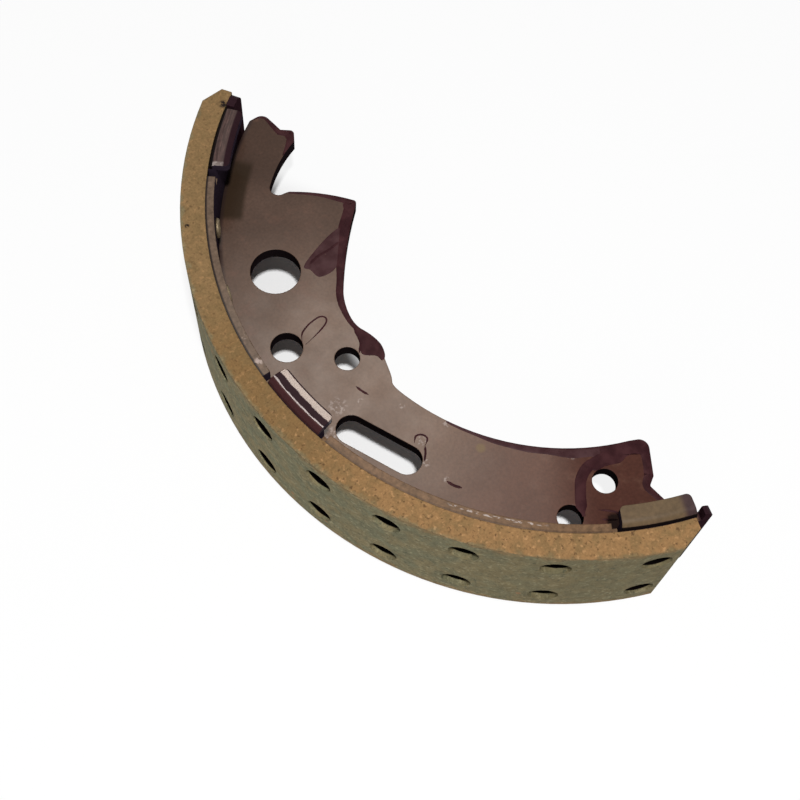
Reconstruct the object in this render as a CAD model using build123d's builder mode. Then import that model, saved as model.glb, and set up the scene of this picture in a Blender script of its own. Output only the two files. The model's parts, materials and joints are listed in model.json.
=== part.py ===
from build123d import *
import os
from math import cos, degrees, radians, sin

os.makedirs("parts", exist_ok=True)

# Brake shoe, lying flat. All sizes in millimetres, angles in degrees.
# The origin is the centre of the hold-down hole, on the middle plane of the web.
# Z runs along the drum's axis, and the lining faces -X.
# Angles are counted about the drum's axis from the lining's middle, positive towards the horn.

# Drum fit and lining
drum_radius = 155.0
lining_thickness = 10.0
lining_half_angle = 63.5
shoe_width = 60.0
bevel_depth = 5.5
bevel_run = 8.4

# Rim, the curved table that carries the lining
rim_thickness = 3.5
rim_horn_angle = 63.9
rim_toe_angle = 66.6
rim_corner_radius = 5.0

# Guide lugs, bent inwards out of both edges of the rim
lug_angles = (53.65, 1.75, -57.9)
lug_length = 28.5
lug_rise = 3.0
lug_flange = 5.0
lug_bend_radius = 4.0
lug_corner_radius = 2.0
notch_width = 3.4
notch_depth = 6.5

# Web, the flat plate on the rim's middle line
web_thickness = 6.0
web_height = 41.1
web_horn_angle = 66.15
web_toe_angle = 65.6

# Holes in the web: how far inside the rim, at which angle, and how wide
hold_down_depth = 35.0
hold_down_angle = 8.2
hold_down_diameter = 10.5
lever_pin_depth = 22.45
lever_pin_angle = 33.2
lever_pin_diameter = 21.2
strut_spring_depth = 16.3
strut_spring_angle = 16.55
strut_spring_diameter = 13.4
return_spring_depth = 26.3
return_spring_angle = -54.05
return_spring_diameter = 10.4
adjuster_spring_depth = 12.0
adjuster_spring_angle = -46.65
adjuster_spring_diameter = 10.6
cable_slot_depth = 17.6
cable_slot_angle = -9.75
cable_slot_spacing = 25.3
cable_slot_width = 12.6
cable_slot_tilt = 6.7

# Rivets, in two rows, with their pairs mirrored about the pattern's middle
rivet_middle_angle = -1.7
rivet_offsets = (5.65, 17.05, 28.55, 41.45, 55.7)
rivet_row_spacing = 34.4
rivet_shank_diameter = 6.0
rivet_head_diameter = 10.4
rivet_head_thickness = 1.6
rivet_flare_diameter = 8.6
rivet_flare_height = 1.6
counterbore_diameter = 12.0
lining_under_head = 4.0
rivet_hole_clearance = 0.2

# Radii and heights that follow
rim_outer_radius = drum_radius - lining_thickness
rim_inner_radius = rim_outer_radius - rim_thickness
web_inner_radius = rim_inner_radius - web_height
half_width = shoe_width / 2
lug_top = half_width + lug_rise
lug_inner_radius = rim_outer_radius - lug_bend_radius - lug_flange
hold_down_radius = rim_inner_radius - hold_down_depth
counterbore_depth = lining_thickness - lining_under_head

# The drum's axis, as seen from the hold-down hole
drum_plane = Plane(
    origin=(
        hold_down_radius * cos(radians(hold_down_angle)),
        -hold_down_radius * sin(radians(hold_down_angle)),
        0,
    )
)
drum_axis = Axis(drum_plane.origin, (0, 0, 1))


def polar(radius, angle):
    """A point in the drum's plane, by its radius and its angle from the lining's middle."""
    return (-radius * cos(radians(angle)), radius * sin(radians(angle)))


def inside_rim(depth, angle):
    """A point in the drum's plane that lies a depth inside the rim."""
    return polar(rim_inner_radius - depth, angle)


def arc_angle(length, radius):
    """The angle that a length takes up along a circle."""
    return degrees(length / radius)


def radial_plane(angle):
    """A plane through the drum's axis, X outwards along the radius and Y along the axis."""
    outward = polar(1, angle)
    return Plane(
        origin=drum_plane.origin,
        x_dir=(outward[0], outward[1], 0),
        z_dir=(outward[1], -outward[0], 0),
    )


def rivet_plane(angle, height):
    """A plane on the friction face, Z outwards along a rivet."""
    outward = polar(1, angle)
    origin = drum_plane.origin + Vector(outward[0], outward[1], 0) * drum_radius
    return Plane(
        origin=origin + Vector(0, 0, height),
        x_dir=(0, 0, 1),
        z_dir=(outward[0], outward[1], 0),
    )


def axis_distance(point):
    """How far a point lies from the drum's axis."""
    offset = point - drum_plane.origin
    return Vector(offset.X, offset.Y, 0).length


def on_flange_edge(edge):
    """Whether an edge lies along the inner edge of a guide lug."""
    return axis_distance(edge @ 0.5) < lug_inner_radius + lug_corner_radius / 2


rivet_angles = [rivet_middle_angle + side * step for step in rivet_offsets for side in (1, -1)]
rivet_heights = (rivet_row_spacing / 2, -rivet_row_spacing / 2)
rivet_planes = [rivet_plane(angle, height) for angle in rivet_angles for height in rivet_heights]

# Outline of the web, from the horn down to the lower end
horn_rim_end = polar(rim_inner_radius, web_horn_angle)
horn_corner = inside_rim(3.75, 68.6)
horn_face_end = inside_rim(14.3, 66.7)
nose_tip = inside_rim(19.85, 67.7)
nose_root = inside_rim(22.3, 65.25)
horn_underside = inside_rim(20.25, 60.05)
notch_upper = inside_rim(19.1, 53.55)
notch_root = inside_rim(20.8, 51.7)
notch_lower = inside_rim(25.05, 51.75)
lobe_shoulder = inside_rim(27.35, 52.6)
lobe_crown = inside_rim(39.6, 53.45)
lobe_corner = inside_rim(57.2, 52.95)
lobe_underside = inside_rim(54.35, 39.65)
lobe_end = inside_rim(48.2, 25.35)
step_points = [
    inside_rim(46.1, 19.05),
    inside_rim(46.6, 14.1),
    inside_rim(49.9, 7.95),
    inside_rim(47.4, 3.15),
    inside_rim(43.15, -2.15),
]
inner_arc_start_angle = -7.25
inner_arc_end_angle = -61.55
toe_corner = inside_rim(40.1, -65.95)
toe_face_end = inside_rim(24.25, -63.7)
toe_notch_upper = inside_rim(20.75, -62.3)
toe_notch_lower = inside_rim(13.95, -63.85)
toe_tip = inside_rim(11.65, -66.75)
toe_rim_end = polar(rim_inner_radius, -web_toe_angle)
inner_arc_start = polar(web_inner_radius, inner_arc_start_angle)
inner_arc_end = polar(web_inner_radius, inner_arc_end_angle)
corner_radii = [
    (horn_corner, 4.0),
    (nose_tip, 2.0),
    (lobe_shoulder, 4.0),
    (lobe_corner, 1.6),
    (toe_corner, 4.0),
    (toe_face_end, 1.5),
    (toe_notch_upper, 1.0),
    (toe_tip, 1.2),
]

# Web
with BuildPart() as web:
    with BuildSketch(drum_plane):
        with BuildLine():
            Polyline(horn_rim_end, horn_corner, horn_face_end, nose_tip, nose_root)
            ThreePointArc(nose_root, horn_underside, notch_upper)
            ThreePointArc(notch_upper, notch_root, notch_lower)
            Line(notch_lower, lobe_shoulder)
            ThreePointArc(lobe_shoulder, lobe_crown, lobe_corner)
            lobe_edge = ThreePointArc(lobe_corner, lobe_underside, lobe_end)
            Spline(
                lobe_end,
                *step_points,
                inner_arc_start,
                tangents=[lobe_edge % 1, polar(1, inner_arc_start_angle - 90)],
            )
            middle_angle = (inner_arc_start_angle + inner_arc_end_angle) / 2
            ThreePointArc(inner_arc_start, polar(web_inner_radius, middle_angle), inner_arc_end)
            Polyline(
                inner_arc_end,
                toe_corner,
                toe_face_end,
                toe_notch_upper,
                toe_notch_lower,
                toe_tip,
                toe_rim_end,
            )
            ThreePointArc(toe_rim_end, polar(rim_inner_radius, 0), horn_rim_end)
        make_face()
        for corner, radius in corner_radii:
            fillet(vertices().sort_by_distance((*corner, 0))[0], radius)
        with Locations(inside_rim(hold_down_depth, hold_down_angle)):
            Circle(hold_down_diameter / 2, mode=Mode.SUBTRACT)
        with Locations(inside_rim(lever_pin_depth, lever_pin_angle)):
            Circle(lever_pin_diameter / 2, mode=Mode.SUBTRACT)
        with Locations(inside_rim(strut_spring_depth, strut_spring_angle)):
            Circle(strut_spring_diameter / 2, mode=Mode.SUBTRACT)
        with Locations(inside_rim(return_spring_depth, return_spring_angle)):
            Circle(return_spring_diameter / 2, mode=Mode.SUBTRACT)
        with Locations(inside_rim(adjuster_spring_depth, adjuster_spring_angle)):
            Circle(adjuster_spring_diameter / 2, mode=Mode.SUBTRACT)
        with Locations(inside_rim(cable_slot_depth, cable_slot_angle)):
            SlotCenterToCenter(
                cable_slot_spacing,
                cable_slot_width,
                rotation=cable_slot_tilt - cable_slot_angle - 90,
                mode=Mode.SUBTRACT,
            )
    extrude(amount=web_thickness / 2, both=True)

# Rim, with its guide lugs
lug_angle = arc_angle(lug_length, rim_inner_radius)
gap_angle = arc_angle(lug_length + 2 * notch_width, rim_inner_radius)
lug_base = half_width - notch_depth
with BuildPart() as rim:
    with BuildSketch(radial_plane(rim_horn_angle)):
        with Locations(((rim_inner_radius + rim_outer_radius) / 2, 0)):
            Rectangle(rim_thickness, shoe_width)
    revolve(axis=drum_axis, revolution_arc=rim_horn_angle + rim_toe_angle)
    band_corners = rim.edges().filter_by(GeomType.LINE).filter_by(Axis.Z, reverse=True)
    fillet(band_corners, rim_corner_radius)
    for angle in lug_angles:
        for side in (1, -1):
            with BuildSketch(radial_plane(angle + gap_angle / 2)):
                with Locations((rim_outer_radius, side * (lug_base + half_width))):
                    Rectangle(4 * rim_thickness, shoe_width)
            revolve(axis=drum_axis, revolution_arc=gap_angle, mode=Mode.SUBTRACT)
            with BuildSketch(radial_plane(angle + lug_angle / 2)):
                with BuildLine():
                    FilletPolyline(
                        (rim_outer_radius - rim_thickness / 2, side * (lug_base - notch_depth)),
                        (rim_outer_radius - rim_thickness / 2, side * (lug_top - rim_thickness / 2)),
                        (lug_inner_radius, side * (lug_top - rim_thickness / 2)),
                        radius=lug_bend_radius - rim_thickness / 2,
                    )
                trace(line_width=rim_thickness)
            revolve(axis=drum_axis, revolution_arc=lug_angle)
    flange_corners = rim.edges().filter_by(Axis.Z).filter_by(on_flange_edge)
    fillet(flange_corners, lug_corner_radius)
    with Locations(*[Location(plane) for plane in rivet_planes]):
        Hole((rivet_shank_diameter + rivet_hole_clearance) / 2)

# Lining, with bevelled ends and counterbored rivet holes
bevel_angle = arc_angle(bevel_run, drum_radius)
bevel_root_radius = drum_radius - bevel_depth
with BuildPart() as lining:
    with BuildSketch(drum_plane):
        with BuildLine():
            ThreePointArc(
                polar(rim_outer_radius, lining_half_angle),
                polar(rim_outer_radius, 0),
                polar(rim_outer_radius, -lining_half_angle),
            )
            Polyline(
                polar(rim_outer_radius, -lining_half_angle),
                polar(bevel_root_radius, -lining_half_angle),
                polar(drum_radius, bevel_angle - lining_half_angle),
            )
            ThreePointArc(
                polar(drum_radius, bevel_angle - lining_half_angle),
                polar(drum_radius, 0),
                polar(drum_radius, lining_half_angle - bevel_angle),
            )
            Polyline(
                polar(drum_radius, lining_half_angle - bevel_angle),
                polar(bevel_root_radius, lining_half_angle),
                polar(rim_outer_radius, lining_half_angle),
            )
        make_face()
    extrude(amount=half_width, both=True)
    with Locations(*[Location(plane) for plane in rivet_planes]):
        CounterBoreHole(
            radius=(rivet_shank_diameter + rivet_hole_clearance) / 2,
            counter_bore_radius=counterbore_diameter / 2,
            counter_bore_depth=counterbore_depth,
        )

# One rivet, its head's seat at the origin, its shank pointing down and its set end flared out
flare_seat = -(lining_under_head + rim_thickness)
with BuildPart() as rivet:
    with BuildSketch(Plane.XZ):
        with BuildLine():
            Polyline(
                (0, rivet_head_thickness),
                (rivet_head_diameter / 2, rivet_head_thickness),
                (rivet_head_diameter / 2, 0),
                (rivet_shank_diameter / 2, 0),
                (rivet_shank_diameter / 2, flare_seat),
                (rivet_flare_diameter / 2, flare_seat - rivet_flare_height),
                (0, flare_seat - rivet_flare_height),
                close=True,
            )
        make_face()
    revolve(axis=Axis.Z)

# All the rivets, each head on the floor of its counterbore
with BuildPart() as rivets:
    with Locations(*[Location(plane.offset(-counterbore_depth)) for plane in rivet_planes]):
        add(rivet.part)

web.part.label = "web"
rim.part.label = "rim"
lining.part.label = "lining"
rivets.part.label = "rivets"
export_step(web.part, "parts/web.step")
export_step(rim.part, "parts/rim.step")
export_step(lining.part, "parts/lining.step")
export_step(rivets.part, "parts/rivets.step")
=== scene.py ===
import json
from math import cos, pi, radians, sin

import bmesh
import bpy
from mathutils import Matrix, Vector


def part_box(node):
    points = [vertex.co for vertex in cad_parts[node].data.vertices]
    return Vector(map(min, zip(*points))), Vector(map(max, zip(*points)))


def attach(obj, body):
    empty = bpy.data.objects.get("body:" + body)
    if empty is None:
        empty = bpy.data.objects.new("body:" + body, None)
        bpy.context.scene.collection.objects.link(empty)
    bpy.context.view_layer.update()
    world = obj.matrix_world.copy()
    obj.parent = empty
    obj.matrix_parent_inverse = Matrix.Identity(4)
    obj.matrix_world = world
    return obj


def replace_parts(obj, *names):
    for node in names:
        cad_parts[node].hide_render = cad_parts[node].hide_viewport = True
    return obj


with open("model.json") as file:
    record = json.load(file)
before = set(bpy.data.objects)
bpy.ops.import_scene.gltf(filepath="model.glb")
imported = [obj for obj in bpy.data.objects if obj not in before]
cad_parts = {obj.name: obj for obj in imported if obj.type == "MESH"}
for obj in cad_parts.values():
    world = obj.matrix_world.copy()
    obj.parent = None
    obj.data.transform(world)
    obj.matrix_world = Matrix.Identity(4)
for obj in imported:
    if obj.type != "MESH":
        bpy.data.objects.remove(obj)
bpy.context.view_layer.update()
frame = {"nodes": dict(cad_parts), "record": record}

# All places are in the part's own frame.
# The origin is the hold-down hole's centre, Z runs along the drum's axis and the lining faces -X.
# Sizes are metres. Paint marks, the rivet profile and what shading measures are typed in millimetres.
# Angles on the shoe are degrees about the drum's axis, from -X, positive towards the horn.
MM = 0.001
DRUM_RADIUS = 155 * MM
WEB_TOP = 3 * MM

# Radius and height that shading measures from, in millimetres
RIM_INNER_RADIUS = 141.5
HALF_WIDTH = 30.0

friction_face = next(m for m in frame["record"]["mounts"] if m["name"] == "friction_face")
DRUM_AXIS = Vector(friction_face["pos_m"]) + Vector((DRUM_RADIUS, 0, 0))
FLOOR_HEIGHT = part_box("rim")[0].z

# Rivets: where the heads sit, and the profile by radius and by depth inwards from the seat
RIVET_SEAT_RADIUS = 149 * MM
RIVET_ROW = 17.2 * MM
RIVET_MIDDLE_ANGLE = -1.7
RIVET_OFFSETS = (5.65, 17.05, 28.55, 41.45, 55.7)
RIVET_TURNS = 28
RIVET_PROFILE = (
    (0.0, -1.6), (2.6, -1.6), (4.3, -1.5), (4.9, -1.2), (5.2, -0.7), (5.2, 0.0), (3.0, 0.0), (3.0, 7.5),
    (3.6, 7.52), (4.2, 7.7), (4.3, 8.1), (4.1, 8.6), (3.6, 9.0), (3.0, 9.1), (2.4, 8.9), (2.05, 8.3),
    (1.95, 7.4), (1.9, 5.2), (0.0, 4.6),
)

# The photograph's view
CAMERA_TARGET = Vector((3.9, -27.1, 0)) * MM
CAMERA_DISTANCE = 544.7 * MM
CAMERA_HEADING = 49.5
CAMERA_ELEVATION = 65.8
CAMERA_ROLL = 5.9
CAMERA_LENS = 60.5
CAMERA_SENSOR = 36.0
CAMERA_NEAR_CLIP = 0.01

# Floor, world and lamps
FLOOR_HALF_SIZE = 4.0
FLOOR_WHITE = (0.93, 0.93, 0.93, 1)
FLOOR_GLOW = 0.85
WORLD_LIGHT = 0.13
LAMP_DISTANCE = 1.2
WHITE = (1, 1, 1)
WARM = (1, 0.91, 0.82)
# Each lamp: name, direction, size, power, colour, whether it lights surfaces, whether gloss mirrors it
LAMPS = (
    ("above", (-0.17, -0.22, 0.96), 0.06, 13.5, WHITE, True, True),
    ("sheen", (0.27, 0.32, 0.91), 0.20, 4.2, WARM, False, True),
    ("strip", (-0.20, 0.32, 0.93), 0.08, 0.9, WHITE, False, True),
    ("front", (-0.70, -0.50, 0.50), 0.50, 1.6, WHITE, True, False),
)

# Bands of thick paint along the web's outline: near which points they start and end, width at both ends
EDGE_BANDS = (
    ((54, 53), (13, 6), 6.0, 2.0),
    ((36, 75), (54, 53), 0.8, 3.0),
    ((58, 96), (47, 90), 4.4, 0.6),
    ((50, 112), (58, 96), 0.5, 4.4),
    ((8, -48), (40, -94), 0.7, 1.4),
    ((40, -94), (60, -108), 1.4, 5.4),
    ((60, -108), (47, -130), 5.0, 2.4),
)
# The same, where the paint is thinner
EDGE_FILMS = (
    ((8, -48), (46, -98), 0.8, 4.6),
)
# Section of such a band: share of its width, height
BAND_SECTION = ((0.0, -0.02), (0.04, 0.10), (0.2, 0.2), (0.6, 0.18), (0.9, 0.1), (1.0, -0.02))
OUTLINE_GAP = 1.0 * MM

# Runs of paint: points, width, height
PAINT_RUNS = (
    ([(-8.6, 17.6), (-6.4, 20.4), (-4.0, 21.6), (-0.2, 22.2), (4.6, 21.8), (6.3, 19.8), (4.6, 17.8),
      (-1.0, 16.7), (-8.2, 16.2)], 0.75, 0.2),
    ([(16.6, 42.6), (23.5, 43.3), (30.2, 42.4), (37.0, 42.6)], 1.3, 0.25),
    ([(11.8, 9.0), (9.2, 1.7), (5.4, -1.4)], 1.3, 0.3),
    ([(-5.9, -11.5), (-5.6, -14.5), (-4.8, -17.6)], 1.0, 0.2),
    ([(-6.0, -45.3), (-3.4, -43.6), (-1.2, -44.9), (-0.8, -47.4), (-3.4, -49.0)], 0.8, 0.25),
    ([(-3.6, -49.0), (-6.0, -51.6), (-8.6, -53.6)], 0.9, 0.2),
    ([(45.7, -100.9), (37.5, -99.7), (31.7, -101.2), (27.7, -104.4), (23.6, -108.6), (20.8, -112.8)],
     4.6, 0.25),
    ([(26.7, -114.6), (29.6, -117.8), (31.4, -120.6), (30.2, -123.2), (27.8, -125.3)], 0.9, 0.2),
    ([(24.9, -118.3), (27.2, -120.6), (29.6, -122.8)], 0.8, 0.2),
    ([(-8.0, -65.6), (-7.2, -68.8), (-5.6, -71.7)], 1.2, 0.25),
)
RUN_FACETS = 8
RUN_TIP_SHARE = 0.3
RUN_TAPER = 6
PAINT_SINK = 0.02

# Pools of thick paint: outline, height
PAINT_POOLS = (
    ([(12.2, 8.6), (14.4, 2.7), (14.7, -4.3), (12.4, -9.4), (9.9, -10.3), (9.5, -7.1), (5.9, -2.7),
      (8.8, 2.2)], 0.25),
    ([(37.9, -98.2), (45.5, -98.9), (51.5, -101.0), (56.8, -103.8), (60.6, -106.5), (60.4, -111.0),
      (58.1, -111.9), (55.3, -109.0), (51.7, -107.3), (48.0, -107.4), (42.9, -104.5), (38.0, -102.7)], 0.15),
)
# The same, where the paint is a thin smear
PAINT_FILMS = (
    ([(16.2, 43.8), (26.0, 46.5), (36.0, 47.8), (41.2, 46.6), (34.0, 40.5), (25.7, 34.2), (17.7, 35.4),
      (17.0, 40.5)], 0.12),
)
# Section of a pool: share of the way from its centre to its outline, share of its height
POOL_SECTION = ((1.0, -0.02), (0.985, 0.5), (0.96, 0.85), (0.9, 1.0), (0.5, 1.0), (0.02, 1.0))

# Marks in the finish, some of them painted light: centre, reach. Pale scuff marks are worn paint and partly
# painted highlights on paint bumps, the lining's pits are painted shade, and the rim's glints are painted
# highlights
SCUFFS_AND_GLINTS = (
    (-17.3, -13.0, 5.0), (-9.2, -17.7, 1.8), (1.6, -30.4, 1.6), (-3.0, -46.8, 3.0), (-8.6, -54.4, 2.4),
    (-27.1, -36.2, 1.8), (9.2, -48.0, 2.0), (36.5, -91.5, 3.0), (44.0, -96.5, 2.6), (-26.9, -19.8, 4.5),
    (-7.6, -65.0, 1.6),
)
TAN_SPOTS = ((11.8, -64.9, 2.6),)
LINING_SHADED_CHIPS = ((34.0, 112.5, 2.6), (-15.6, 77.4, 1.3))
RIM_PAINTED_GLINTS = ((-30.9, 25.2, 2.6), (-34.6, 12.9, 2.2))

# Colours of the web's paint
WEB_BROWN = (0.118, 0.067, 0.043)
LOBE_BROWN = (0.076, 0.043, 0.030)
HORN_BROWN = (0.051, 0.027, 0.018)
LOWER_BROWN = (0.090, 0.038, 0.023)
TOE_BROWN = (0.073, 0.026, 0.018)
BLOTCH_BROWN = (0.125, 0.062, 0.042)
SPOT_TAN = (0.130, 0.076, 0.030)
SCUFF_AND_GLINT_PALE = (0.340, 0.270, 0.240)
# Painted shadow of the upper lug
LUG_SHADOW_DARK = (0.026, 0.016, 0.009)
# Painted shade where the web meets the rim
CORNER_SHADE_DARK = (0.022, 0.013, 0.012)
# Painted shade on the upright cut faces
CUT_EDGE_SHADE_BLACK = (0.012, 0.008, 0.009)

# Colours of the paint marks
RUN_DARK = (0.030, 0.009, 0.011)
RUN_LIGHT = (0.057, 0.020, 0.022)
FILM_DARK = (0.046, 0.018, 0.020)
FILM_LIGHT = (0.072, 0.034, 0.036)

# Colours of the rim's paint: its inside, its edges, and the lugs' bends and pads, with painted shade inside
# and on the lugs' bent parts, and painted highlights and painted shade on the pads
RIM_INSIDE_SHADE = (0.032, 0.022, 0.034)
RIM_END = (0.028, 0.012, 0.016)
EDGE_LOWER = (0.148, 0.085, 0.046)
EDGE_UPPER = (0.126, 0.084, 0.058)
EDGE_SEAM_SHADE = (0.018, 0.012, 0.010)
EDGE_FLAKES_AND_GLINTS = (0.400, 0.335, 0.300)
EDGE_PAINTED_GLINT = (0.400, 0.310, 0.270)
MIDDLE_BEND_SHADE = (0.042, 0.011, 0.012)
OUTER_BEND_SHADE = (0.010, 0.007, 0.007)
MIDDLE_PAD = (0.180, 0.115, 0.090)
LOWER_PAD = (0.108, 0.070, 0.036)
LOWER_PAD_END = (0.040, 0.020, 0.020)
UPPER_PAD_DARK = (0.042, 0.022, 0.019)
UPPER_PAD_STREAK = (0.094, 0.052, 0.045)
UPPER_PAD_HIGHLIGHT = (0.300, 0.250, 0.230)
PAD_CREST_HIGHLIGHT = (0.420, 0.350, 0.330)
PAD_DARK_SHADE = (0.022, 0.009, 0.012)
SHADOW_LINE_BLACK = (0.006, 0.004, 0.004)

# Colours of the lining: its cut sides, its ground face, and painted shade in its holes and pits
SIDE_LOWER = (0.290, 0.163, 0.069)
SIDE_MIDDLE = (0.216, 0.126, 0.051)
SIDE_UPPER = (0.240, 0.148, 0.066)
SIDE_PATCH = (0.185, 0.120, 0.052)
SIDE_FLECK = (0.420, 0.235, 0.105)
SIDE_GRIT = (0.095, 0.050, 0.024)
SIDE_CHIP_SHADE = (0.012, 0.008, 0.007)
FACE_OLIVE = (0.198, 0.163, 0.088)
FACE_GREEN = (0.157, 0.151, 0.091)
FACE_LOWER = (0.178, 0.142, 0.072)
FACE_FLECK = (0.290, 0.255, 0.150)
FACE_GRIT = (0.090, 0.092, 0.060)
FACE_SPECK = (0.290, 0.160, 0.080)
HOLE_SHADE_BLACK = (0.003, 0.002, 0.002)

# Colours of the rivets' plating
PLATING_DARK = (0.130, 0.098, 0.058)
PLATING_LIGHT = (0.220, 0.165, 0.095)


class Nodes:
    """Short ways to add and join the nodes of one material or world."""

    def __init__(self, owner):
        owner.use_nodes = True
        self.tree = owner.node_tree
        self.tree.nodes.clear()

    def add(self, kind, **settings):
        node = self.tree.nodes.new(kind)
        for name, value in settings.items():
            setattr(node, name, value)
        return node

    def put(self, socket, value):
        """Join an output to a socket, or set the socket to a constant."""
        if isinstance(value, bpy.types.NodeSocket):
            self.tree.links.new(value, socket)
        else:
            socket.default_value = value

    def math(self, operation, a, b=None):
        node = self.add("ShaderNodeMath", operation=operation)
        self.put(node.inputs[0], a)
        if b is not None:
            self.put(node.inputs[1], b)
        return node.outputs[0]

    def both(self, *masks):
        """Product of masks."""
        product = masks[0]
        for mask in masks[1:]:
            product = self.math("MULTIPLY", product, mask)
        return product

    def split(self, vector):
        node = self.add("ShaderNodeSeparateXYZ")
        self.put(node.inputs[0], vector)
        return node.outputs

    def step(self, value, low, high):
        """0 below low and 1 above high, or the other way round if low is the larger."""
        node = self.add("ShaderNodeMapRange", clamp=True, interpolation_type="SMOOTHSTEP")
        ends = (0.0, 1.0)
        if low > high:
            low, high = high, low
            ends = (1.0, 0.0)
        self.put(node.inputs["Value"], value)
        node.inputs["From Min"].default_value = low
        node.inputs["From Max"].default_value = high
        node.inputs["To Min"].default_value = ends[0]
        node.inputs["To Max"].default_value = ends[1]
        return node.outputs["Result"]

    def spread(self, value, low, high, start=0.0, end=1.0):
        """A value from start to end spread from low to high."""
        node = self.add("ShaderNodeMapRange", clamp=True)
        self.put(node.inputs["Value"], value)
        node.inputs["From Min"].default_value = start
        node.inputs["From Max"].default_value = end
        node.inputs["To Min"].default_value = low
        node.inputs["To Max"].default_value = high
        return node.outputs["Result"]

    def vary(self, noise, low, high):
        """Noise, which mostly lies between 0.3 and 0.7, spread from low to high."""
        return self.spread(noise, low, high, 0.3, 0.7)

    def mix(self, factor, a, b):
        """Blend two colours."""
        node = self.add("ShaderNodeMix", data_type="RGBA")
        self.put(node.inputs["Factor"], factor)
        self.put(node.inputs["A"], a if isinstance(a, bpy.types.NodeSocket) else (*a, 1))
        self.put(node.inputs["B"], b if isinstance(b, bpy.types.NodeSocket) else (*b, 1))
        return node.outputs["Result"]

    def shade(self, colour, factor):
        """A colour made darker or lighter by a factor."""
        node = self.add("ShaderNodeVectorMath", operation="SCALE")
        self.put(node.inputs[0], colour)
        self.put(node.inputs["Scale"], factor)
        return node.outputs[0]

    def noise(self, place, size, detail=3.0, roughness=0.5, seed=0.0):
        """Cloudy noise whose patches are about size across."""
        node = self.add("ShaderNodeTexNoise", noise_dimensions="4D")
        self.put(node.inputs["Vector"], place)
        node.inputs["W"].default_value = seed
        node.inputs["Scale"].default_value = 1 / size
        node.inputs["Detail"].default_value = detail
        node.inputs["Roughness"].default_value = roughness
        return node.outputs["Fac"]

    def specks(self, place, size, share, radius):
        """Mask of scattered specks, in a share of the cells, which are size across."""
        node = self.add("ShaderNodeTexVoronoi", voronoi_dimensions="3D")
        self.put(node.inputs["Vector"], place)
        node.inputs["Scale"].default_value = 1 / size
        near = self.step(node.outputs["Distance"], radius, radius * 0.5)
        chosen = self.step(self.split(node.outputs["Color"])[0], share, share * 0.98)
        return self.both(near, chosen)

    def near(self, place, height, spots):
        """Mask of round spots, given by centre and reach in millimetres."""
        mask = None
        for x, y, reach in spots:
            away = self.add("ShaderNodeVectorMath", operation="DISTANCE")
            self.put(away.inputs[0], place)
            away.inputs[1].default_value = Vector((x, y, height)) * MM
            spot = self.step(away.outputs["Value"], reach * MM, reach * 0.4 * MM)
            mask = spot if mask is None else self.math("MAXIMUM", mask, spot)
        return mask

    def rubbed(self, place):
        """Mask that breaks up marks of wear and painted highlights."""
        return self.step(self.noise(place, 1.6 * MM, detail=3.0, seed=4.0), 0.48, 0.62)

    def upward(self):
        """1 on faces that look straight up or down, and 0 on upright ones."""
        normal = self.add("ShaderNodeNewGeometry").outputs["True Normal"]
        return self.math("ABSOLUTE", self.split(normal)[2])

    def height(self, place):
        """Distance from the web's middle plane, in millimetres."""
        return self.math("DIVIDE", self.math("ABSOLUTE", self.split(place)[2]), MM)

    def polar(self, place):
        """Radius from the drum's axis in millimetres, and angle from -X towards the horn in degrees."""
        offset = self.add("ShaderNodeVectorMath", operation="SUBTRACT")
        self.put(offset.inputs[0], place)
        offset.inputs[1].default_value = DRUM_AXIS
        parts = self.split(offset.outputs[0])
        x = parts[0]
        y = parts[1]
        square = self.math("ADD", self.math("MULTIPLY", x, x), self.math("MULTIPLY", y, y))
        radius = self.math("DIVIDE", self.math("SQRT", square), MM)
        angle = self.math("ARCTAN2", y, self.math("MULTIPLY", x, -1.0))
        return radius, self.math("DEGREES", angle)

    def along_rim(self, radius, angle, turn_scale):
        """A place for marks that run along the rim, the longer the smaller turn_scale is."""
        node = self.add("ShaderNodeCombineXYZ")
        self.put(node.inputs[0], self.math("MULTIPLY", radius, 1.2))
        self.put(node.inputs[1], self.math("MULTIPLY", angle, turn_scale))
        return node.outputs[0]

    def bump(self, height, strength, distance, normal=None):
        node = self.add("ShaderNodeBump")
        self.put(node.inputs["Height"], height)
        node.inputs["Strength"].default_value = strength
        node.inputs["Distance"].default_value = distance
        if normal is not None:
            self.put(node.inputs["Normal"], normal)
        return node.outputs["Normal"]

    def rounded(self, radius):
        """Normal of edges that are rounded over."""
        node = self.add("ShaderNodeBevel", samples=6)
        node.inputs["Radius"].default_value = radius
        return node.outputs["Normal"]

    def seen(self):
        """1 for rays from the camera, also by way of gloss or glass, and 0 for rays that light things."""
        path = self.add("ShaderNodeLightPath").outputs
        bent = self.math("MAXIMUM", path["Is Glossy Ray"], path["Is Transmission Ray"])
        return self.math("MAXIMUM", path["Is Camera Ray"], bent)

    def blend(self, factor, first, second):
        """Blend two shaders."""
        node = self.add("ShaderNodeMixShader")
        self.put(node.inputs["Fac"], factor)
        self.put(node.inputs[1], first.outputs[0])
        self.put(node.inputs[2], second.outputs[0])
        return node

    def finish(self, colour, roughness, normal, specular):
        shader = self.add("ShaderNodeBsdfPrincipled")
        self.put(shader.inputs["Base Color"], colour)
        self.put(shader.inputs["Roughness"], roughness)
        self.put(shader.inputs["Specular IOR Level"], specular)
        self.put(shader.inputs["Normal"], normal)
        output = self.add("ShaderNodeOutputMaterial")
        self.put(output.inputs["Surface"], shader.outputs[0])
        return shader


def new_material(name):
    material = bpy.data.materials.new(name)
    nodes = Nodes(material)
    return material, nodes, nodes.add("ShaderNodeNewGeometry").outputs["Position"]


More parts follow.
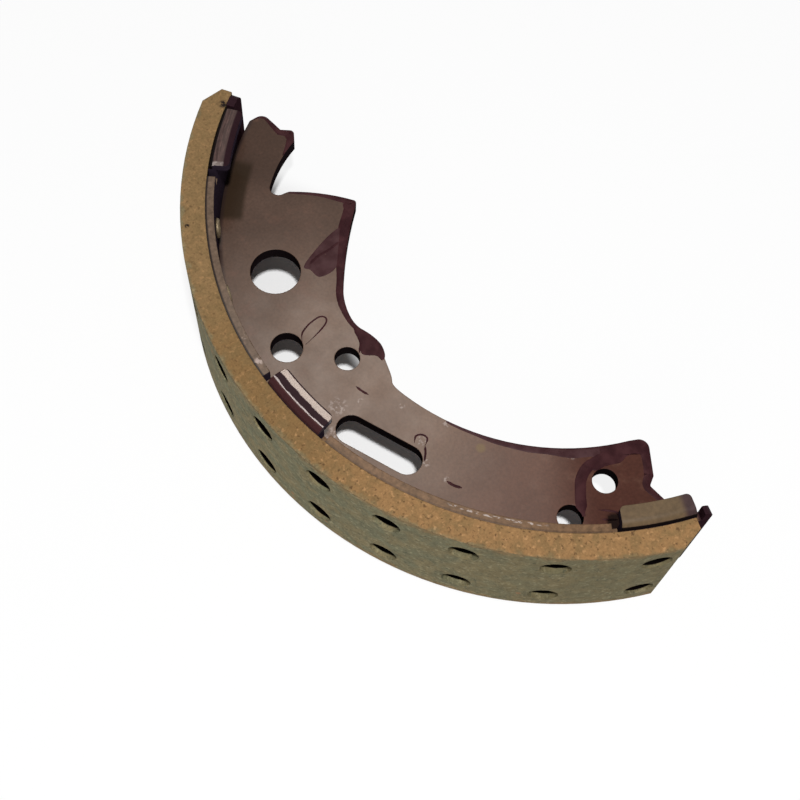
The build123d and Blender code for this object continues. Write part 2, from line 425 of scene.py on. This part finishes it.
def web_paint():
    """Semi-gloss brown dip paint: darker at the horn, redder at the lower end, nearly black on cut edges as
    painted shade, with painted shade by the rim, a painted shadow beside the upper lug and pale scuff marks
    that are partly painted highlights.
    """
    material, nodes, place = new_material("web_paint")
    radius, angle = nodes.polar(place)
    flat = nodes.step(nodes.upward(), 0.5, 0.7)
    lobe = nodes.step(angle, 9, 46)
    toe = nodes.step(angle, -40, -53)
    colour = nodes.mix(lobe, WEB_BROWN, LOBE_BROWN)
    colour = nodes.mix(nodes.step(angle, 49, 56), colour, HORN_BROWN)
    colour = nodes.mix(nodes.step(angle, -12, -40), colour, LOWER_BROWN)
    colour = nodes.mix(toe, colour, TOE_BROWN)
    patches = nodes.noise(place, 22 * MM, seed=3.0)
    colour = nodes.shade(colour, nodes.vary(patches, 0.84, 1.16))
    blotches = nodes.step(nodes.noise(place, 6 * MM, detail=5.0, seed=8.0), 0.54, 0.70)
    colour = nodes.mix(nodes.both(blotches, 0.4), colour, BLOTCH_BROWN)
    grain = nodes.noise(place, 1.1 * MM, detail=4.0)
    colour = nodes.shade(colour, nodes.vary(grain, 0.86, 1.14))

    top = WEB_TOP / MM
    colour = nodes.mix(nodes.near(place, top, TAN_SPOTS), colour, SPOT_TAN)
    # Pale scuff marks: worn paint, and painted highlights on small paint bumps
    scuffs_and_glints = nodes.both(nodes.near(place, top, SCUFFS_AND_GLINTS), nodes.rubbed(place))
    colour = nodes.mix(nodes.both(scuffs_and_glints, 0.7), colour, SCUFF_AND_GLINT_PALE)
    # A painted shadow of the upper lug, on the upper face only
    painted_lug_shadow = nodes.both(
        nodes.step(nodes.split(place)[2], 0.0, WEB_TOP),
        nodes.step(radius, 130.6, 133.4),
        nodes.step(angle, 44.2, 46.0),
        nodes.step(angle, 58.4, 56.4),
    )
    colour = nodes.mix(nodes.both(painted_lug_shadow, 0.85), colour, LUG_SHADOW_DARK)
    # Painted shade on the web where it meets the rim
    painted_corner_shade = nodes.step(radius, RIM_INNER_RADIUS - 2.2, RIM_INNER_RADIUS - 0.6)
    colour = nodes.mix(nodes.both(painted_corner_shade, 0.7), colour, CORNER_SHADE_DARK)
    # Upright cut faces take painted shade, nearly black
    colour = nodes.mix(flat, CUT_EDGE_SHADE_BLACK, colour)

    roughness = nodes.vary(nodes.noise(place, 9 * MM, detail=4.0, seed=5.0), 0.32, 0.40)
    dull = nodes.math("ADD", nodes.both(lobe, 0.65), nodes.both(toe, 0.8))
    shine = nodes.both(flat, nodes.spread(dull, 0.3, 0.0), nodes.spread(painted_lug_shadow, 1.0, 0.4))
    peel = nodes.noise(place, 2.5 * MM, detail=2.0)
    nodes.finish(colour, roughness, nodes.bump(peel, 0.15, 0.2 * MM, nodes.rounded(0.5 * MM)), shine)
    return material


def rim_paint():
    """The same paint on the rim: painted shade inside, maroon painted shade where the middle lug is bent
    over, paler along the edges, painted highlights and painted shade on the lugs' pads.
    """
    material, nodes, place = new_material("rim_paint")
    radius, angle = nodes.polar(place)
    upward = nodes.upward()
    height = nodes.height(place)
    grain = nodes.noise(place, 1.4 * MM, detail=4.0, seed=2.0)
    rubbed = nodes.rubbed(place)
    # Which lug is near: the upper one at the horn, the lower one at the toe, or the middle one
    upper = nodes.step(angle, 20, 30)
    lower = nodes.step(angle, -35, -45)
    outer = nodes.math("ADD", upper, lower)
    middle = nodes.math("SUBTRACT", 1.0, outer)
    raised = nodes.step(height, HALF_WIDTH + 0.2, HALF_WIDTH + 0.6)
    level = nodes.step(upward, 0.93, 0.98)
    flat = nodes.math("MAXIMUM", level, nodes.both(outer, nodes.step(upward, 0.50, 0.68)))

    # Inside and on the bent parts in painted shade, and the edges
    # Painted shade on the lugs' bent parts: dark maroon on the middle lug, black on the outer ones
    shaded_bends = nodes.mix(outer, MIDDLE_BEND_SHADE, OUTER_BEND_SHADE)
    colour = nodes.mix(nodes.step(upward, 0.1, 0.6), RIM_INSIDE_SHADE, shaded_bends)
    edge = nodes.mix(nodes.step(angle, -4, 8), EDGE_LOWER, EDGE_UPPER)
    edge = nodes.shade(edge, nodes.vary(grain, 0.75, 1.25))
    # A dark line along the lining, painted shade of the gap there
    seam_shade_strength = nodes.spread(nodes.step(angle, -12, 8), 0.35, 1.0)
    edge = nodes.mix(nodes.both(nodes.step(radius, 143.9, 144.5), seam_shade_strength), edge, EDGE_SEAM_SHADE)
    # Pale flecks along the rim's inner edge: flaked paint, and partly painted glints
    flakes_and_glints = nodes.both(
        nodes.step(nodes.noise(nodes.along_rim(radius, angle, 1.2), 1.0, detail=2.0), 0.50, 0.58),
        nodes.step(angle, -25.5, -27.5),
        nodes.step(angle, -42, -39),
        nodes.step(radius, 143.2, 142.8),
        nodes.step(radius, 142.0, 142.3),
    )
    edge = nodes.mix(flakes_and_glints, edge, EDGE_FLAKES_AND_GLINTS)
    # Painted highlights on the rim's edge
    edge = nodes.mix(nodes.both(nodes.near(place, HALF_WIDTH, RIM_PAINTED_GLINTS), rubbed), edge, EDGE_PAINTED_GLINT)
    colour = nodes.mix(flat, colour, edge)

    # Pads of the lugs, with painted highlights and painted shade
    streaks = nodes.noise(nodes.along_rim(radius, angle, 0.25), 1.0, detail=3.0, seed=16.0)
    streaked = nodes.mix(nodes.step(streaks, 0.40, 0.66), UPPER_PAD_DARK, UPPER_PAD_STREAK)
    pads = nodes.mix(upper, MIDDLE_PAD, streaked)
    pads = nodes.mix(lower, pads, LOWER_PAD)
    pads = nodes.mix(nodes.step(angle, -61.2, -62.6), pads, LOWER_PAD_END)
    # A painted highlight across the upper lug's lower end
    painted_end_highlight = nodes.both(
        upper,
        nodes.step(angle, 48.9, 48.4),
        nodes.step(radius, 137.2, 137.8),
        nodes.spread(rubbed, 0.4, 1.0),
    )
    pads = nodes.mix(painted_end_highlight, pads, UPPER_PAD_HIGHLIGHT)
    mottle = nodes.noise(place, 2.2 * MM, detail=3.0, seed=15.0)
    pads = nodes.shade(pads, nodes.vary(mottle, 0.82, 1.18))
    waves = nodes.noise(place, 3.5 * MM, detail=3.0, seed=14.0)
    wavy = nodes.math("ADD", radius, nodes.vary(waves, -0.3, 0.3))
    # A painted highlight along the middle lug's pad
    painted_crest_highlight = nodes.both(middle, nodes.step(wavy, 141.2, 141.6), nodes.step(wavy, 142.6, 142.1))
    pads = nodes.mix(painted_crest_highlight, pads, PAD_CREST_HIGHLIGHT)
    # Painted shade on the pads: a dark line along the middle lug's pad, its dark inner border, and the upper
    # lug's inner part
    painted_groove_shade = nodes.both(middle, nodes.step(wavy, 138.7, 139.1), nodes.step(wavy, 141.8, 141.4))
    painted_groove_shade = nodes.math("MAXIMUM", painted_groove_shade, nodes.both(middle, nodes.step(radius, 136.6, 136.4)))
    shaded = nodes.both(upper, nodes.step(radius, 139.0, 138.2))
    # A painted shadow, a black line where the outer lugs leave the rim
    line_start = nodes.spread(lower, 142.9, 143.9)
    painted_shadow_line = nodes.both(
        outer,
        nodes.step(nodes.math("SUBTRACT", radius, line_start), 0.0, 0.3),
        nodes.step(height, HALF_WIDTH + 0.02, HALF_WIDTH + 0.15),
    )
    # All this painted shade also takes the gloss away
    dull = nodes.math("MAXIMUM", nodes.math("MAXIMUM", painted_groove_shade, shaded), painted_shadow_line)
    pads = nodes.mix(dull, pads, PAD_DARK_SHADE)
    colour = nodes.mix(nodes.both(flat, raised), colour, pads)
    colour = nodes.mix(painted_shadow_line, colour, SHADOW_LINE_BLACK)
    ends = nodes.math("MAXIMUM", nodes.step(angle, 60.2, 60.8), nodes.step(angle, -64.3, -65.0))
    colour = nodes.mix(ends, colour, RIM_END)
    colour = nodes.shade(colour, nodes.vary(grain, 0.88, 1.12))

    glossy = nodes.math("SUBTRACT", 1.0, dull)
    roughness = nodes.spread(nodes.both(raised, middle, glossy), 0.42, 0.26)
    shine = nodes.math("MAXIMUM", flat, nodes.both(raised, middle, 0.3))
    shine = nodes.both(shine, nodes.spread(dull, 0.4, 0.04), nodes.spread(outer, 1.0, 0.45))
    shine = nodes.both(shine, nodes.spread(ends, 1.0, 0.2), nodes.spread(raised, 0.4, 1.0))
    peel = nodes.noise(place, 2.5 * MM, detail=2.0)
    nodes.finish(colour, roughness, nodes.bump(peel, 0.10, 0.2 * MM, nodes.rounded(0.5 * MM)), shine)
    return material


def thick_paint(name, dark, light):
    """Maroon paint of runs, pools and smears."""
    material, nodes, place = new_material(name)
    tone = nodes.step(nodes.noise(place, 5 * MM, detail=3.0), 0.35, 0.7)
    normal = nodes.bump(nodes.noise(place, 3 * MM), 0.1, 0.2 * MM)
    nodes.finish(nodes.mix(tone, dark, light), 0.42, normal, 0.03)
    return material


def friction_material():
    """Moulded lining: tan and mottled on its sides, grey-green on its ground face, with painted shade in its
    holes.
    """
    material, nodes, place = new_material("friction_material")
    radius, angle = nodes.polar(place)
    height = nodes.height(place)
    patches = nodes.noise(place, 5 * MM, detail=4.0, seed=1.0)
    grain = nodes.noise(place, 0.8 * MM, detail=4.0, roughness=0.6)
    fibres = nodes.noise(place, 2.0 * MM, detail=4.0, seed=6.0)
    grit = nodes.noise(place, 1.5 * MM, detail=4.0, seed=9.0)

    # Cut sides, coarser towards the toe
    side = nodes.mix(nodes.step(angle, -18, 0), SIDE_LOWER, SIDE_MIDDLE)
    side = nodes.mix(nodes.step(angle, 12, 28), side, SIDE_UPPER)
    side = nodes.mix(nodes.both(nodes.step(patches, 0.42, 0.62), 0.6), side, SIDE_PATCH)
    coarse = nodes.step(angle, 20, -15)
    flecks = nodes.both(nodes.step(fibres, 0.56, 0.66), nodes.spread(coarse, 0.35, 0.7))
    side = nodes.mix(flecks, side, SIDE_FLECK)
    pits = nodes.both(nodes.step(grit, 0.43, 0.34), nodes.spread(coarse, 0.5, 0.75))
    side = nodes.mix(pits, side, SIDE_GRIT)
    # Small pits in the sides, drawn near black as painted shade
    shaded_chips = nodes.both(nodes.near(place, HALF_WIDTH, LINING_SHADED_CHIPS), nodes.step(grain, 0.40, 0.52))
    side = nodes.mix(shaded_chips, side, SIDE_CHIP_SHADE)

    # Ground face
    clouds = nodes.noise(place, 8 * MM, detail=5.0, roughness=0.6, seed=7.0)
    face = nodes.mix(nodes.step(clouds, 0.40, 0.60), FACE_OLIVE, FACE_GREEN)
    face = nodes.mix(nodes.both(nodes.step(angle, -20, -45), 0.5), face, FACE_LOWER)
    face = nodes.mix(nodes.both(nodes.step(fibres, 0.54, 0.66), 0.6), face, FACE_FLECK)
    face = nodes.mix(nodes.both(nodes.step(grit, 0.44, 0.34), 0.7), face, FACE_GRIT)
    face = nodes.mix(nodes.specks(place, 7 * MM, 0.10, 0.20), face, FACE_SPECK)
    face = nodes.shade(face, nodes.spread(angle, 0.86, 1.18, -50.0, 15.0))
    mottle = nodes.noise(place, 3.5 * MM, detail=4.0, roughness=0.65, seed=12.0)
    face = nodes.shade(face, nodes.vary(mottle, 0.78, 1.22))

    # Sides and face run into each other along ragged borders
    ragged = nodes.vary(patches, -3.0, 3.0)
    border = nodes.step(nodes.math("ADD", height, ragged), HALF_WIDTH - 3.5, HALF_WIDTH + 0.5)
    ground = nodes.step(nodes.math("ADD", radius, nodes.both(ragged, 0.5)), 153.4, 155.4)
    colour = nodes.mix(
        nodes.step(height, HALF_WIDTH - 0.4, HALF_WIDTH - 0.1),
        nodes.mix(nodes.both(border, 0.6), face, side),
        nodes.mix(nodes.both(ground, 0.5), side, face),
    )
    colour = nodes.shade(colour, nodes.vary(grain, 0.80, 1.20))

    # Painted shade in the holes: dark below a radius that changes along the shoe
    dark_near_toe = nodes.spread(angle, 153.9, 152.7, -54.0, -42.0)
    dark_near_horn = nodes.spread(angle, 152.7, 154.6, -30.0, 8.0)
    depth = nodes.math("SUBTRACT", nodes.math("MAXIMUM", dark_near_toe, dark_near_horn), radius)
    painted_hole_shade = nodes.both(
        nodes.step(depth, 0.0, 0.35),
        nodes.step(height, HALF_WIDTH - 0.4, HALF_WIDTH - 1.0),
        nodes.step(nodes.math("ABSOLUTE", angle), 61.5, 60.5),
    )
    colour = nodes.mix(painted_hole_shade, colour, HOLE_SHADE_BLACK)
    normal = nodes.bump(grain, 0.4, 0.3 * MM, nodes.rounded(0.6 * MM))
    nodes.finish(colour, 0.9, normal, nodes.spread(painted_hole_shade, 0.1, 0.0))
    return material


def rivet_metal():
    """Dull steel, yellow plated."""
    material, nodes, place = new_material("rivet_metal")
    wear = nodes.noise(place, 0.9 * MM, detail=4.0)
    colour = nodes.mix(nodes.step(wear, 0.3, 0.7), PLATING_DARK, PLATING_LIGHT)
    shader = nodes.finish(colour, 0.45, nodes.bump(wear, 0.1, 0.1 * MM), 0.5)
    shader.inputs["Metallic"].default_value = 0.6
    return material


def new_piece(name, mesh_data, material):
    """A visible piece that goes with the shoe."""
    mesh = bpy.data.meshes.new(name)
    mesh_data.to_mesh(mesh)
    mesh_data.free()
    mesh.materials.append(material)
    piece = bpy.data.objects.new(name, mesh)
    bpy.context.scene.collection.objects.link(piece)
    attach(piece, "root")
    return piece


def skin(data, rows, closed=False):
    """Join rows of points, all of the same length, into one smooth skin."""
    verts = [[data.verts.new(point) for point in row] for row in rows]
    pairs = list(zip(verts, verts[1:]))
    if closed:
        pairs.append((verts[-1], verts[0]))
    for row, after in pairs:
        for a, b, c, d in zip(row, row[1:], after[1:], after):
            face = data.faces.new((a, b, c, d))
            face.smooth = True


def curve_point(p, a, b, q, t):
    """Point at share t of the way from a to b on a smooth curve that comes from p and goes on to q."""
    square = 2 * p - 5 * a + 4 * b - q
    cube = 3 * a - p - 3 * b + q
    return 0.5 * (2 * a + (b - p) * t + square * t * t + cube * t * t * t)


def smooth_line(points, closed=False, steps=6):
    """A curved line through points of the web's upper face."""
    points = [Vector((x, y, 0)) * MM + Vector((0, 0, WEB_TOP)) for x, y in points]
    if closed:
        points = [points[-1], *points, points[0], points[1]]
    else:
        points = [2 * points[0] - points[1], *points, 2 * points[-1] - points[-2]]
    line = []
    for p, a, b, q in zip(points, points[1:], points[2:], points[3:]):
        line.extend(curve_point(p, a, b, q, i / steps) for i in range(steps))
    if not closed:
        line.append(points[-2])
    return line


def sideways(line, i):
    """Direction to the left of a line at one of its points."""
    ahead = line[min(i + 1, len(line) - 1)] - line[max(i - 1, 0)]
    return Vector((-ahead.y, ahead.x, 0)).normalized()


def add_run(data, points, width, height):
    """A low bead of paint that narrows at both ends."""
    line = smooth_line(points)
    rows = []
    last = len(line) - 1
    for i, centre in enumerate(line):
        taper = max(RUN_TIP_SHARE, min(1, RUN_TAPER * i / last, RUN_TAPER * (last - i) / last))
        across = sideways(line, i)
        row = []
        for j in range(RUN_FACETS + 1):
            turn = pi * j / RUN_FACETS
            rise = height * MM * taper * sin(turn) - PAINT_SINK * MM
            row.append(centre + across * (width / 2 * MM * taper * cos(turn)) + Vector((0, 0, rise)))
        rows.append(row)
    skin(data, rows)


def add_pool(data, points, height):
    """A flat pool of paint with a rounded border."""
    line = smooth_line(points, closed=True)
    centre = sum(line, Vector()) / len(line)
    rows = []
    for point in line:
        row = []
        for share, rise in POOL_SECTION:
            row.append(centre + (point - centre) * share + Vector((0, 0, rise * height * MM)))
        rows.append(row)
    skin(data, rows, closed=True)


def web_corners():
    """Corner points of the web's upper outline, anticlockwise from above."""
    data = bmesh.new()
    data.from_mesh(frame["nodes"]["web"].data)
    data.transform(frame["nodes"]["web"].matrix_world)
    bmesh.ops.remove_doubles(data, verts=data.verts, dist=0.001 * MM)
    top = {f for f in data.faces if f.normal.z > 0.9 and f.calc_center_median().z > WEB_TOP - 0.1 * MM}
    joins = {}
    for edge in data.edges:
        if len(top.intersection(edge.link_faces)) == 1:
            a, b = edge.verts
            joins.setdefault(a, []).append(b)
            joins.setdefault(b, []).append(a)
    start = max(joins, key=lambda v: v.co.y)
    loop = [start]
    before, here = start, joins[start][0]
    while here is not start:
        loop.append(here)
        before, here = here, next(v for v in joins[here] if v is not before)
    points = [v.co.copy() for v in loop]
    data.free()
    doubled_area = sum(a.x * b.y - b.x * a.y for a, b in zip(points, points[1:] + points[:1]))
    if doubled_area < 0:
        points.reverse()
    return points


def evenly(points, gap):
    """Points at even gaps along a closed line."""
    line = []
    for a, b in zip(points, points[1:] + points[:1]):
        count = max(1, round((b - a).length / gap))
        line.extend(a.lerp(b, i / count) for i in range(count))
    return line


def nearest(outline, point):
    """Number of the outline's point that lies nearest to a point in millimetres."""
    place = Vector(point) * MM
    return min(range(len(outline)), key=lambda i: (outline[i].xy - place).length)


def add_edge_band(data, outline, start, end, first_width, last_width):
    """A thick band of paint along one stretch of the web's outline, the shorter way round."""
    count = len(outline)
    first = nearest(outline, start)
    forward = (nearest(outline, end) - first) % count
    if forward <= count / 2:
        side = 1
        length = forward
    else:
        side = -1
        length = count - forward
    line = [outline[(first + side * i) % count] for i in range(length + 1)]
    inward = [side * sideways(line, i) for i in range(len(line))]
    rows = []
    for i, point in enumerate(line):
        share = i / max(1, length)
        across = sum(inward[max(0, i - 3):i + 4], Vector()).normalized()
        wave = 1 + 0.05 * sin(i * 0.37) + 0.06 * sin(i * 0.21 + 2)
        width = (first_width + (last_width - first_width) * share) * MM * wave
        row = [point + across * width * part + Vector((0, 0, rise * MM)) for part, rise in BAND_SECTION]
        rows.append(row)
    skin(data, rows)


def paint_marks(name, material, outline, runs, pools, bands):
    """One piece of paint that stands on the web's upper face."""
    data = bmesh.new()
    for points, width, height in runs:
        add_run(data, points, width, height)
    for points, height in pools:
        add_pool(data, points, height)
    for band in bands:
        add_edge_band(data, outline, *band)
    new_piece(name, data, material)


def detailed_rivets(material):
    """Semi-tubular rivets: a low head in the counterbore, a hollow shank and an end rolled over."""
    data = bmesh.new()
    for offset in RIVET_OFFSETS:
        for sign in (1, -1):
            for row in (RIVET_ROW, -RIVET_ROW):
                turn = radians(RIVET_MIDDLE_ANGLE + sign * offset)
                outward = Vector((-cos(turn), sin(turn), 0))
                across = Vector((sin(turn), cos(turn), 0))
                seat = DRUM_AXIS + outward * RIVET_SEAT_RADIUS + Vector((0, 0, row))
                rows = []
                for k in range(RIVET_TURNS):
                    spin = 2 * pi * k / RIVET_TURNS
                    arm = across * cos(spin) + Vector((0, 0, sin(spin)))
                    rows.append([seat + arm * (r * MM) - outward * (s * MM) for r, s in RIVET_PROFILE])
                skin(data, rows, closed=True)
    bmesh.ops.remove_doubles(data, verts=data.verts, dist=0.001 * MM)
    bmesh.ops.recalc_face_normals(data, faces=data.faces)
    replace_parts(new_piece("detailed_rivets", data, material), "rivets")


def pale_floor():
    """A white floor that keeps a soft shadow, which is full under the shoe."""
    size = FLOOR_HALF_SIZE
    mesh = bpy.data.meshes.new("floor")
    corners = [(-size, -size, 0), (size, -size, 0), (size, size, 0), (-size, size, 0)]
    mesh.from_pydata(corners, [], [(0, 1, 2, 3)])
    floor = bpy.data.objects.new("floor", mesh)
    floor.location.z = FLOOR_HEIGHT
    bpy.context.scene.collection.objects.link(floor)
    material, nodes, place = new_material("floor_white")
    radius, angle = nodes.polar(place)
    under = nodes.both(
        nodes.step(radius, 88, 98),
        nodes.step(radius, 154, 148),
        nodes.step(angle, 68, 60),
        nodes.step(angle, -55.5, -53.5),
    )
    diffuse = nodes.add("ShaderNodeBsdfDiffuse")
    diffuse.inputs["Color"].default_value = FLOOR_WHITE
    glow = nodes.add("ShaderNodeEmission")
    share = nodes.both(nodes.seen(), nodes.spread(under, FLOOR_GLOW, 0.0))
    output = nodes.add("ShaderNodeOutputMaterial")
    nodes.put(output.inputs["Surface"], nodes.blend(share, diffuse, glow).outputs[0])
    mesh.materials.append(material)


def soft_light():
    """Soft studio light: a weak world with a white backdrop, and the lamps."""
    world = bpy.data.worlds.new("studio")
    bpy.context.scene.world = world
    nodes = Nodes(world)
    light = nodes.add("ShaderNodeBackground")
    light.inputs["Color"].default_value = (*WHITE, 1)
    light.inputs["Strength"].default_value = WORLD_LIGHT
    backdrop = nodes.add("ShaderNodeBackground")
    backdrop.inputs["Color"].default_value = (*WHITE, 1)
    output = nodes.add("ShaderNodeOutputWorld")
    nodes.put(output.inputs["Surface"], nodes.blend(nodes.seen(), light, backdrop).outputs[0])
    for name, direction, size, power, colour, lights_surfaces, mirrored in LAMPS:
        lamp = bpy.data.lights.new(name, "AREA")
        lamp.size = size
        lamp.energy = power
        lamp.color = colour
        holder = bpy.data.objects.new(name, lamp)
        holder.location = CAMERA_TARGET + Vector(direction).normalized() * LAMP_DISTANCE
        holder.rotation_euler = Vector(direction).to_track_quat("Z", "Y").to_euler()
        holder.visible_diffuse = lights_surfaces
        holder.visible_glossy = mirrored
        bpy.context.scene.collection.objects.link(holder)


def photo_camera():
    data = bpy.data.cameras.new("camera")
    data.lens = CAMERA_LENS
    data.sensor_width = CAMERA_SENSOR
    data.clip_start = CAMERA_NEAR_CLIP
    camera = bpy.data.objects.new("camera", data)
    turn = Matrix.Rotation(radians(-CAMERA_HEADING), 4, "Z")
    tip = Matrix.Rotation(radians(90 - CAMERA_ELEVATION), 4, "X")
    roll = Matrix.Rotation(radians(CAMERA_ROLL), 4, "Z")
    back = Matrix.Translation((0, 0, CAMERA_DISTANCE))
    camera.matrix_world = Matrix.Translation(CAMERA_TARGET) @ turn @ tip @ roll @ back
    bpy.context.scene.collection.objects.link(camera)
    bpy.context.scene.camera = camera


def set_material(node, material):
    mesh = frame["nodes"][node].data
    mesh.materials.clear()
    mesh.materials.append(material)


bpy.context.scene.view_settings.view_transform = "Standard"

metal = rivet_metal()
set_material("web", web_paint())
set_material("rim", rim_paint())
set_material("lining", friction_material())
set_material("rivets", metal)

outline = evenly(web_corners(), OUTLINE_GAP)
run_paint = thick_paint("run_paint", RUN_DARK, RUN_LIGHT)
film_paint = thick_paint("film_paint", FILM_DARK, FILM_LIGHT)
paint_marks("paint_runs", run_paint, outline, PAINT_RUNS, PAINT_POOLS, EDGE_BANDS)
paint_marks("paint_films", film_paint, outline, (), PAINT_FILMS, EDGE_FILMS)
detailed_rivets(metal)

pale_floor()
soft_light()
photo_camera()
